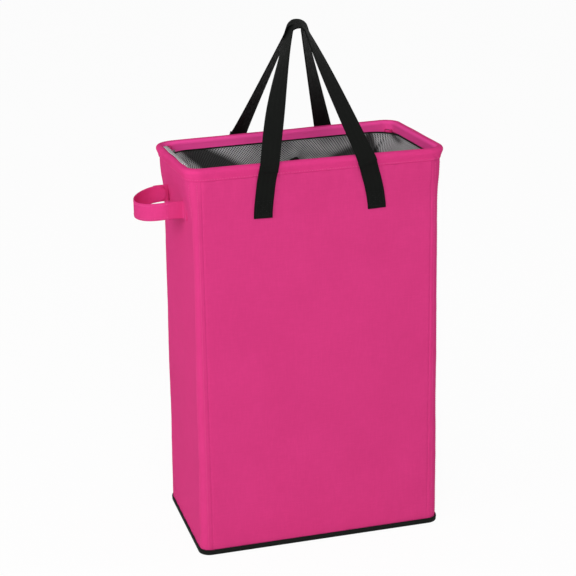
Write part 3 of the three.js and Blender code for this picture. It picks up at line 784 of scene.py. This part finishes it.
SHOWN_POINTS = 36
section = hem_section()
s = np.linspace(0, AROUND, 400, endpoint=False)
x, y, dx, dy = rim_outline(s)
v = distances(section)
near_neck = np.exp(-np.abs(section[:, 1] - (HEM_BOTTOM + 3 * MM)) / (3.5 * MM))
outward = np.sign(section[:, 0] + RING_INSET)
pucker = 0.28 * MM * np.sin(2 * math.pi * s / (9.5 * MM) + 2.2 * wave_sum(s, s * 0, 31, 0.08))
full = 0.25 * MM * wave_sum(s, s * 0, 33, 0.11)
on_top = smooth((section[:, 1] - (HEM_BOTTOM + 4 * MM)) / (8 * MM))
in_face = np.arange(len(section)) < SHOWN_POINTS
move = (pucker[:, None] * near_neck * outward + full[:, None] * on_top * outward) * in_face
out = section[:, 0][None] + move
z = section[:, 1][None] + 0.22 * MM * (wave_sum(s, s * 0, 35, 0.16) - 1)[:, None] * on_top * in_face
z = z + sag(x, y, HEM_ARCH_Z)[:, None]
rows = np.stack([x[:, None] + dx[:, None] * out, y[:, None] + dy[:, None] * out, z], -1)
hem = loops_to_piece("padded_hem", rows, s, v, True)
# The cloth is the same inside and out. The inner side takes a lighter tone to come nearer the photo,
# where more light reaches it than these lamps give.
inner_side = smooth((-section[:, 0] - 3.0 * MM) / (2.5 * MM)) * in_face
vertex_values(hem, "inner_side", np.tile(inner_side, len(s)))
finish_piece(hem, rim_cloth, "rim_cloth", "rim", "rim_hem")
print("padded_hem area", round(cloth_area(hem), 4))

x, y, dx, dy = rim_outline(np.arange(0, AROUND - 2 * MM, STITCH_STEP))
for name, o, sign in (("outside", 1.15 * MM, 1), ("inside", -5.85 * MM, -1)):
    z = HEM_BOTTOM + 2.4 * MM + sag(x, y, HEM_ARCH_Z)
    row = stitch_row(f"hem_stitches_{name}", np.stack([x + dx * o, y + dy * o, z], -1),
                     np.stack([dx * sign, dy * sign, 0 * x], -1))
    finish_piece(row, pink_thread, "rim_cloth", "rim")

# %% The hoop inside the hem
hoop_s = np.linspace(0, AROUND, 160, endpoint=False)
x, y, dx, dy = rim_outline(hoop_s)
bpy.ops.object.select_all(action="DESELECT")
bpy.ops.curve.primitive_nurbs_circle_add(radius=0.1)
hoop_curve = bpy.context.object
hoop_curve.data.splines.clear()
spline = hoop_curve.data.splines.new("POLY")
spline.points.add(len(hoop_s) - 1)
for point, px, py in zip(spline.points, x - dx * RING_INSET, y - dy * RING_INSET):
    point.co = (px, py, HEM_ARCH_Z + float(sag(px, py, HEM_ARCH_Z)), 1)
spline.use_cyclic_u = True
hoop_curve.data.bevel_depth = 3.4 * MM
hoop_curve.data.bevel_resolution = 3
bpy.ops.object.convert(target="MESH")
hoop = bpy.context.object
hoop.name = "bent_hoop"
for face in hoop.data.polygons:
    face.use_smooth = True
finish_piece(hoop, white_plastic, "rod", "rim", "rim_hoop")
print("hoop faces", len(hoop.data.polygons))

# %% [markdown]
# ## Corner rods, sleeves and loops
# The rods are the solids with a plastic finish. Net strips are sewn across the corners over them.

# %% Rods, net sleeves and rim loops
ROD_OUT = (CORNER - RING_INSET - HEM_ROUND - GAP - 5.5 * MM) * math.sqrt(0.5)
ROD_X, ROD_Y = STRAIGHT_X + ROD_OUT, STRAIGHT_Y + ROD_OUT
SLEEVE_RADIUS, SLEEVE_CLEAR = 4.8 * MM, 1.4 * MM


def between(a, b, shares):
    a, b = np.array(a), np.array(b)
    return [tuple(a + (b - a) * t) for t in shares]


def sleeve_path(z):
    """A sleeve's section at height z: along the end wall, round the rod, along the long wall."""
    face = wall_out(z) - WALL - GAP - SLEEVE_CLEAR
    face_x = max(WIDTH / 2 + face, ROD_X + SLEEVE_RADIUS * 0.9)
    face_y = max(DEPTH / 2 + face, ROD_Y + SLEEVE_RADIUS * 0.9)
    start_x, start_y = ROD_X - 12 * MM, ROD_Y - 12 * MM
    far = math.hypot(start_y - ROD_Y, face_x - ROD_X)
    first = math.atan2(start_y - ROD_Y, face_x - ROD_X) - math.acos(SLEEVE_RADIUS / far)
    last = -math.pi * 3 / 2 - first
    wing_y = [(face_x, start_y - 10 * MM + 10 * MM * t) for t in (0, 0.5, 1)]
    round_rod = [(ROD_X + SLEEVE_RADIUS * math.cos(a), ROD_Y + SLEEVE_RADIUS * math.sin(a))
                 for a in np.linspace(first, last, 7)]
    slant_in = between(wing_y[-1], round_rod[0], (0.35, 0.7))
    wing_x = [(start_x - 10 * MM * t, face_y) for t in (0, 0.5, 1)]
    slant_out = between(round_rod[-1], wing_x[0], (0.3, 0.65))
    return np.array(wing_y + slant_in + round_rod + slant_out + wing_x)


CORNERS = [("front_left", -1, -1), ("front_right", 1, -1), ("back_left", -1, 1), ("back_right", 1, 1)]
sleeve_z = np.concatenate([np.linspace(6.6 * MM, 480 * MM, 90), np.linspace(484 * MM, 541.2 * MM, 14)])
for where, sx, sy in CORNERS:
    paths = np.array([sleeve_path(z) for z in sleeve_z])
    wrinkle = 0.25 * MM * wave_sum(np.linspace(0, 0.06, paths.shape[1])[None], sleeve_z[:, None], 41, 0.07)
    points = np.stack([sx * (paths[..., 0] - wrinkle.clip(0)), sy * (paths[..., 1] - wrinkle.clip(0)),
                       np.repeat(sleeve_z[:, None], paths.shape[1], 1)], -1)
    along = distances(paths[0])
    piece = shell(f"net_sleeve_{where}", points, 0.8 * MM, sleeve_z, along)
    finish_piece(piece, grey_net, "mesh_cloth", "base", f"sleeve_{where}")
    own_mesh(piece)

    turn = np.linspace(0, 2 * math.pi, 28, endpoint=False)
    height = np.linspace(542.8 * MM, 548.4 * MM, 6)
    radius = 4.95 * MM + 0.1 * MM * np.sin(np.linspace(0, math.pi, 6))
    loop = np.stack([sx * ROD_X + radius * np.cos(turn)[:, None], sy * ROD_Y + radius * np.sin(turn)[:, None],
                     np.repeat(height[None], 28, 0)], -1)
    piece = shell(f"rod_loop_{where}_cloth", loop, 1.0 * MM, turn * 4.9 * MM, height, closed=True)
    finish_piece(piece, rim_cloth, "webbing", "rim", f"rod_loop_{where}")

    for part, material in (("rod", white_plastic), ("rod_foot", black_plastic), ("rod_tip", black_plastic)):
        paint(nodes[f"{part}_{where}"], material)

# %% [markdown]
# ## Net collar
# A gathered collar of net slopes in from the rim to a dark binding that pulls it together.
# Its folds are shallow at the rim and deepen toward the binding.

# %% The gathered net collar
COLLAR_INSET, COLLAR_TOP, COLLAR_DEPTH = 6.6 * MM, 544.5 * MM, 45 * MM
END_SLOPE, SIDE_SLOPE = 42 * MM, 24 * MM
WAVES, WAVE = 33, 2.4 * MM


def collar_ring(inset_x, inset_y, radius):
    """Places and directions all round the collar, from the front end of the right side."""
    width, depth, arc = WIDTH - 2 * inset_x, DEPTH - 2 * inset_y, math.pi / 2 * radius
    total = 2 * (width + depth) - 8 * radius + 4 * arc
    start = width / 2 - radius + arc
    return np.stack(rounded_box(start + collar_share * total, width, depth, radius), -1)


collar_share = np.linspace(0, 1, 792, endpoint=False)
top = collar_ring(COLLAR_INSET, COLLAR_INSET, 42 * MM)
low = collar_ring(COLLAR_INSET + END_SLOPE, COLLAR_INSET + SIDE_SLOPE, 40 * MM)
gather = 1 + 0.5 * wave_sum(collar_share, collar_share * 0, 51, 0.09)
phase = collar_share * WAVES * 2 * math.pi + 0.9 * wave_sum(collar_share, collar_share * 0, 53, 0.12)
folds = WAVE * np.sin(phase) * gather.clip(0.5, 1.25)
around = collar_share * 0.9
at_back = smooth((top[:, 1] - 40 * MM) / (30 * MM))
at_left = smooth((-top[:, 0] - 120 * MM) / (35 * MM))


def bell(x, middle, width):
    return np.exp(-((x - middle) / width) ** 2)


# one broad pleat stands in the right back corner; crease, for the crease beside it, is not used in the shape
pleat = smooth((top[:, 0] - 139 * MM) / (7 * MM)) * (1 - smooth((top[:, 0] - 159 * MM) / (6 * MM))) * at_back
crease = bell(top[:, 0], 166.5 * MM, 1.6 * MM) * at_back
heap = at_back * (1.25 * bell(top[:, 0], 32 * MM, 18 * MM) + 0.8 * bell(top[:, 0], 92 * MM, 26 * MM))
raised = 13 * MM * heap
crumpled = heap * wave_sum(around, around * 0, 61, 0.02)


def collar_grid(downs, heights, out):
    points = np.zeros((len(collar_share), len(downs), 3))
    for j, (down, z) in enumerate(zip(downs, heights)):
        roll = bell(down, 0.17, 0.12) * at_left
        depth = folds * down ** 1.4 + out - roll * 5 * MM + 2.5 * MM * crumpled * down
        depth = depth - 9 * MM * pleat * smooth(down / 0.25)
        points[:, j, 0] = top[:, 0] + (low[:, 0] - top[:, 0]) * down + low[:, 2] * depth
        points[:, j, 1] = top[:, 1] + (low[:, 1] - top[:, 1]) * down + low[:, 3] * depth
        lifted = z + raised * down ** 2 + crumpled * 2 * MM * down + roll * 5 * MM
        points[:, j, 2] = lifted + sag(points[:, j, 0], points[:, j, 1], HEM_BOTTOM)
    return points


downs = np.linspace(0, 1, 25)
drop = COLLAR_DEPTH - 7.3 * MM
heights = COLLAR_TOP - drop * (downs * 0.85 + 0.15 * np.sin(downs * math.pi / 2)
                               + 0.1 * np.sin(downs * math.pi))
piece = shell("net_collar", collar_grid(downs, heights, -0.6 * MM), 0.9 * MM, around, downs * 55 * MM,
              closed=True)
finish_piece(piece, grey_net, "mesh_cloth", "rim", "mesh_collar")

# Painted shade on the net, placed where the photo shows shaded, crumpled or doubled net; the last term adds
# the net's own uneven tone.
place = np.array([v.co for v in piece.data.vertices])
down = np.clip((COLLAR_TOP - place[:, 2]) / COLLAR_DEPTH, 0, 1)
behind = smooth((place[:, 1] - 20 * MM) / (30 * MM))
beside = smooth((-place[:, 0] - 125 * MM) / (20 * MM)) * (1 - behind)
x_mm = place[:, 0] / MM
band = smooth((x_mm + 160 - 50 * down) / 12) * (1 - smooth((x_mm + 128 - 80 * down) / 30))
crumple_shade = (smooth((down - 0.6 + 0.42 * (x_mm - 51) / 60) / 0.25)
                 * smooth((x_mm - 20) / 20) * (1 - smooth((x_mm - 136) / 8)))
swirl = (smooth((x_mm - 112) / 8) * (1 - smooth((x_mm - 140) / 6))
         * (0.55 + 0.45 * np.sin(x_mm / 3.5 + down * 9)))
# band, crumple_shade, swirl and the narrow bell at 166 mm are painted shade: the deep fold at the left, the
# crumples, and the crease beside the pleat
dark = behind * (1.1 * band + 0.95 * crumple_shade + 0.8 * swirl + 0.95 * bell(x_mm, 166, 2.6))
# painted shade on the net below the fold that lies over the rim at the left end
dark = dark + beside * 0.75 * smooth((down - 0.15) / 0.2)
dark = dark + 0.15 * wave_sum(place[:, 0], place[:, 1] + place[:, 2], 63, 0.05)
vertex_values(piece, "net_painted_shade", dark)

bind = np.linspace(0, 1, 6)
bind_points = collar_grid(np.ones(6), COLLAR_TOP - COLLAR_DEPTH + 0.4 * MM + bind[::-1] * 6.2 * MM, -0.6 * MM)
crumple = 0.5 * MM * wave_sum(collar_share[:, None], bind[None] * 0.01, 57, 0.02)
bind_points[..., 0] += low[:, 2][:, None] * crumple
bind_points[..., 1] += low[:, 3][:, None] * crumple
piece = shell("collar_binding", bind_points, 2.2 * MM, around, bind * 7 * MM, closed=True)
finish_piece(piece, black_cloth, "base_cloth", "rim", "collar_hem")

# %% A thin black strip along the top of the net, which gives the dark line where the net meets the rim
strip_downs = np.array([0.0, 0.01, 0.02, 0.028])
strip_points = collar_grid(strip_downs, COLLAR_TOP + 0.9 * MM - strip_downs * 60 * MM, -1.4 * MM)
piece = shell("collar_dark_strip", strip_points, 0.6 * MM, around, strip_downs * 60 * MM, closed=True)
finish_piece(piece, black_cloth, "base_cloth", "rim")

# %% A fold of net that lies over the rim at the left end
fold_y = np.linspace(72 * MM, -78 * MM, 60)
fold_section = np.array([(-1.4, 560.9), (-3.6, 561.3), (-6.2, 560.6), (-8.6, 558.6),
                         (-10.4, 555.4), (-12.0, 551.2), (-14.0, 546.6)]) * MM
fade = smooth(np.sin(np.linspace(0, math.pi, 60)) * 3)
start = np.array([-7.2 * MM, 552 * MM])
fold_points = np.zeros((60, len(fold_section), 3))
for i, y_here in enumerate(fold_y):
    section = start + (fold_section - start) * (0.25 + 0.75 * fade[i])
    section[:, 0] += 0.5 * MM * math.sin(y_here / (11 * MM))
    fold_points[i, :, 0] = -(WIDTH / 2 + RIM_LONGER + section[:, 0])
    fold_points[i, :, 1] = y_here
    fold_points[i, :, 2] = section[:, 1] + sag(-WIDTH / 2, y_here, HEM_ARCH_Z)
piece = shell("net_fold_left", fold_points, 0.8 * MM, np.abs(fold_y - fold_y[0]), distances(fold_section))
# the fold takes the lighter net, painted light where it faces up
finish_piece(piece, painted_light_net, "mesh_cloth", "rim")

# %% [markdown]
# ## Webbing handles
# Each carry handle is one strap, sewn flat to the wall, that rises over the hem, leans in and turns
# a quarter as it goes, so both straps lie side by side in the hand.

# %% Webbing handles and their sewn ends
END_Z, END_TOP, FOOT_Z = 485 * MM, 556 * MM, 550 * MM
WEB_CLEAR = GAP + WEB_THICK / 2
HEM_FACE_Y = DEPTH / 2 - RING_INSET + HEM_ROUND
HEM_WEB_Y = HEM_FACE_Y + WEB_CLEAR
HANDLE_Y = HEM_WEB_Y + WEB_THICK + GAP
APEX_Y, APEX_Z, ARCH = 5.5 * MM, HEIGHT + 164.5 * MM - WEB_THICK / 2, 11 * MM
STACKED = {"front": 1.9 * MM, "back": 0.0}
# Where each strap starts and where it crosses the rim, in mm from the middle, fitted to the photo.
# The starts of the back pair can't be seen and are guessed.
STRAP_PLACES = {("front", -1): (78.5, 71), ("front", 1): (81.5, 62),
                ("back", -1): (68, 56), ("back", 1): (80, 69.5)}


def web_x(z, where, sx):
    """Distance from the middle: the strap hangs straight at first, then leans in more and more."""
    start, foot = STRAP_PLACES[where, sx]
    return (start + (foot - start) * np.clip((z - END_Z) / (75 * MM), 0, 2) ** 1.5) * MM


def strap_piece(name, middles, acrosses):
    across = np.linspace(-0.5, 0.5, 9) * WEB
    points = middles[:, None] + acrosses[:, None] * across[None, :, None]
    return shell(name, points, WEB_THICK, distances(middles), across)


def sewn_end(name, where, sx, sy):
    slack = WEB_CLEAR + 0.12 * MM
    knots_z = np.array([485, 498, 519.5, 535, 542, 550.8, 556]) * MM
    wall = DEPTH / 2 + wall_out(knots_z[:4]) + slack + np.array([0.1, 0.1, 0.35, 0.3]) * MM
    knots_y = np.concatenate([wall, [DEPTH / 2 + GAP + HEM_CLOTH + slack, HEM_WEB_Y, HEM_WEB_Y]])
    z = np.linspace(END_Z, END_TOP, 60)
    y = np.interp(z, knots_z, knots_y)
    y[1:-1] = (y[:-2] + 2 * y[1:-1] + y[2:]) / 4
    middles = np.stack([sx * web_x(z, where, sx), sy * y, z], -1)
    lean = np.gradient(middles[:, 0], z)
    across = np.stack([np.ones_like(z), 0 * z, -lean], -1) / np.hypot(1, lean)[:, None]
    return strap_piece(name, middles, across), middles


def box_stitches(name, middles, sy):
    """A square of stitches with a cross in it, on the lower part of a sewn end."""
    low, high, half = 488.5 * MM, 509 * MM, 10 * MM
    corners = [(-half, low), (half, low), (half, high), (-half, high),
               (-half, low), (half, high), (-half, high), (half, low)]
    steps = np.linspace(0, 1, 7, endpoint=False)
    spots = np.array([spot for a, b in zip(corners[:-1], corners[1:]) for spot in between(a, b, steps)])
    x = np.interp(spots[:, 1], middles[:, 2], middles[:, 0]) + spots[:, 0]
    y = np.interp(spots[:, 1], middles[:, 2], middles[:, 1]) + sy * (WEB_THICK / 2 + THREAD_RISE)
    return stitch_row(name, np.stack([x, y, spots[:, 1]], -1), np.repeat([[0, sy, 0]], len(x), 0), share=0.9)


# How each leg turns on its way up, from flat on the wall (0) to on edge at the top (1).
TURNS = {("front", -1): smooth, ("front", 1): lambda t: 0.55 * t + 0.2 * t ** 4,
         ("back", -1): lambda t: 0.62 * t ** 0.5, ("back", 1): lambda t: 0.7 * t ** 0.65}


def half_line(where, sx):
    """Middle points from one foot to the top, each with its turn."""
    straight = (9 if where == "front" else 3) * MM
    arch, apex_z, bend_z = ARCH + STACKED[where], APEX_Z + STACKED[where], FOOT_Z + straight
    bend_x, arch_z = float(web_x(bend_z, where, sx)), apex_z - arch
    reach = math.hypot(bend_x, arch_z - bend_z)
    touch = math.acos(arch / reach) - math.atan2(arch_z - bend_z, bend_x)
    touch_x, touch_z = arch * math.cos(touch), arch_z + arch * math.sin(touch)
    half = [(float(web_x(FOOT_Z + straight * t, where, sx)), HANDLE_Y, FOOT_Z + straight * t, 0.0)
            for t in np.linspace(0, 1, 7)[:-1]]
    for t in np.linspace(0, 1, 61):
        bow = STRAP_BOW[where, sx] * math.sin(math.pi * t)
        half.append((bend_x + (touch_x - bend_x) * t + bow, HANDLE_Y + (APEX_Y - HANDLE_Y) * t,
                     bend_z + (touch_z - bend_z) * t, float(TURNS[where, sx](t))))
    turned = half[-1][3]
    for t in np.linspace(0, 1, 21)[1:]:
        angle = touch + (math.pi / 2 - touch) * t
        turn = turned + (1 - turned) * float(smooth(t))
        half.append((arch * math.cos(angle), APEX_Y, arch_z + arch * math.sin(angle), turn))
    return half


# How far the flat of the strap leans to the front at the top, and how far its left leg bows out.
TOP_LEAN = {"front": math.radians(20), "back": 0.0}
STRAP_BOW = {("front", -1): 3 * MM, ("front", 1): 0.0, ("back", -1): 0.0, ("back", 1): 0.0}


def handle_line(where, sy):
    """Middle points and across directions from one foot over the top to the other."""
    right, left = half_line(where, 1), half_line(where, -1)
    line = [(*p, 1) for p in right] + [(-p[0], *p[1:], -1) for p in left[-2::-1]]
    middles = np.array([(p[0], sy * p[1], p[2]) for p in line])
    for _ in range(3):
        middles[1:-1] = (middles[:-2] + 2 * middles[1:-1] + middles[2:]) / 4
    acrosses = []
    for i, p in enumerate(line):
        along = middles[min(i + 1, len(line) - 1)] - middles[max(i - 1, 0)]
        along = along / np.linalg.norm(along)
        flat = np.array([1.0, 0, 0]) - along * along[0]
        flat /= max(np.linalg.norm(flat), 1e-9)
        turned = np.array([0, 1.0, 0]) - along * along[1]
        turned /= np.linalg.norm(turned)
        lean = -TOP_LEAN[where] * along[0] ** 2
        if p[3] >= 1:
            acrosses.append(turned * math.cos(lean) + np.cross(along, turned) * math.sin(lean))
            continue
        side = np.cross(along, flat)
        goal = math.atan2(turned @ side, turned @ flat)
        start = math.pi if p[4] < 0 and where == "front" else 0.0
        sweep = (goal - start + math.pi) % (2 * math.pi) - math.pi
        now = start + sweep * p[3] + lean
        acrosses.append(flat * math.cos(now) + side * math.sin(now))
    return middles, np.array(acrosses)


for where, sy in (("front", -1), ("back", 1)):
    for hand, sx in (("left", -1), ("right", 1)):
        piece, middles = sewn_end(f"{where}_strap_end_{hand}", where, sx, sy)
        finish_piece(piece, black_webbing, "webbing", "rim", f"{where}_handle_end_{hand}")
        row = box_stitches(f"{where}_strap_stitches_{hand}", middles, sy)
        finish_piece(row, black_thread, "webbing", "rim")
    middles, acrosses = handle_line(where, sy)
    piece = strap_piece(f"{where}_strap", middles, acrosses)
    finish_piece(piece, black_webbing, "webbing", f"{where}_carry_handle", f"{where}_handle")

# %% [markdown]
# ## Side handle
# A strip of the pink cloth, folded to 25 mm and stitched near both edges, loops out from two tabs
# sewn to the left end.

# %% The pink side handle
SIDE_Z, SIDE_HALF, SIDE_THICK, SIDE_ARCH, SIDE_REACH = 490.5 * MM, 11.6 * MM, 1.6 * MM, 46 * MM, 42 * MM
SIDE_WALL_X = WIDTH / 2 - WAIST + 0.27 * MM
SIDE_AXIS_X = SIDE_WALL_X + 17 * MM
SIDE_FOOT_X = SIDE_WALL_X + GAP + SIDE_THICK / 2
TAB_Y = SIDE_ARCH + SIDE_THICK + GAP


def droop(out):
    """The loop hangs lower the farther it stands out from its tabs."""
    return 1.5 * MM - 6.5 * MM * np.clip(np.asarray(out) / SIDE_REACH, 0, 1) ** 1.3


def side_strip(name, line, halves):
    line, halves = np.asarray(line), np.asarray(halves)
    share = np.linspace(-1, 1, 9)
    points = np.zeros((len(line), len(share), 3))
    points[..., 0], points[..., 1] = line[:, 0][:, None], line[:, 1][:, None]
    points[..., 2] = (SIDE_Z + droop(-line[:, 0] - SIDE_AXIS_X))[:, None] + halves[:, None] * share[None]
    along = distances(line)
    return shell(name, points, SIDE_THICK, along, share * SIDE_HALF), along


def soften(line):
    """Round the corners of a line by cutting them three times."""
    line = np.asarray(line, float)
    for _ in range(3):
        near, far = line[:-1] * 0.75 + line[1:] * 0.25, line[:-1] * 0.25 + line[1:] * 0.75
        cut = np.concatenate([near, far], 1).reshape(-1, 2)
        line = np.concatenate([line[:1], cut, line[-1:]])
    return line


for where, sy in (("front", -1), ("back", 1)):
    tab = soften([(-SIDE_FOOT_X, sy * (TAB_Y + 15 * MM)), (-SIDE_FOOT_X, sy * (TAB_Y + 9 * MM)),
                  (-SIDE_FOOT_X, sy * (TAB_Y + SIDE_THICK * 1.2)),
                  (-SIDE_FOOT_X - SIDE_THICK * 1.2, sy * TAB_Y),
                  (-SIDE_FOOT_X - 8 * MM, sy * TAB_Y), (-SIDE_AXIS_X - SIDE_HALF / 2, sy * TAB_Y)])
    piece, _ = side_strip(f"side_strap_tab_{where}", tab, np.full(len(tab), SIDE_HALF))
    finish_piece(piece, pink_cloth, "wall_cloth", "rim", f"side_handle_tab_{where}")
    spots = [(sy * (TAB_Y + 12 * MM), SIDE_Z + float(droop(0)) + z) for z in np.arange(-9, 9.1, 3.3) * MM]
    row = stitch_row(f"side_tab_stitches_{where}",
                     [(-SIDE_FOOT_X - SIDE_THICK / 2 - THREAD_RISE, y, z) for y, z in spots],
                     [(-1, 0, 0)] * len(spots))
    finish_piece(row, pink_thread, "wall_cloth", "rim")

tip = np.linspace(0, math.pi / 2, 10)
round_half = np.maximum(SIDE_HALF * np.sin(tip), SIDE_THICK)
first = [(-SIDE_AXIS_X + SIDE_HALF * math.cos(a), SIDE_ARCH) for a in tip]
bow = [(-SIDE_AXIS_X + SIDE_REACH * math.cos(a), SIDE_ARCH * math.sin(a))
       for a in np.linspace(math.pi / 2, 3 * math.pi / 2, 60)[1:-1]]
last = [(-SIDE_AXIS_X + SIDE_HALF * math.cos(a), -SIDE_ARCH) for a in tip[::-1]]
line = np.array(first + bow + last)
halves = np.concatenate([round_half, np.full(len(bow), SIDE_HALF), round_half[::-1]])
piece, along = side_strip("side_strap", line, halves)
finish_piece(piece, pink_cloth, "wall_cloth", "side_carry_handle", "side_handle")

for label, z in (("upper", SIDE_Z + 9 * MM), ("lower", SIDE_Z - 9 * MM)):
    angles = np.arange(math.pi / 2 + 0.08, 3 * math.pi / 2 - 0.04, STITCH_STEP / SIDE_ARCH)
    normals = np.array([(math.cos(a) / SIDE_REACH, math.sin(a) / SIDE_ARCH, 0) for a in angles])
    normals /= np.linalg.norm(normals, axis=1)[:, None]
    spots = np.array([(-SIDE_AXIS_X + SIDE_REACH * math.cos(a), SIDE_ARCH * math.sin(a),
                       z + float(droop(-SIDE_REACH * math.cos(a)))) for a in angles])
    thread_path = spots + normals * (SIDE_THICK / 2 + THREAD_RISE)
    row = stitch_row(f"side_strap_stitches_{label}", thread_path, normals)
    finish_piece(row, pink_thread, "wall_cloth", "side_carry_handle")
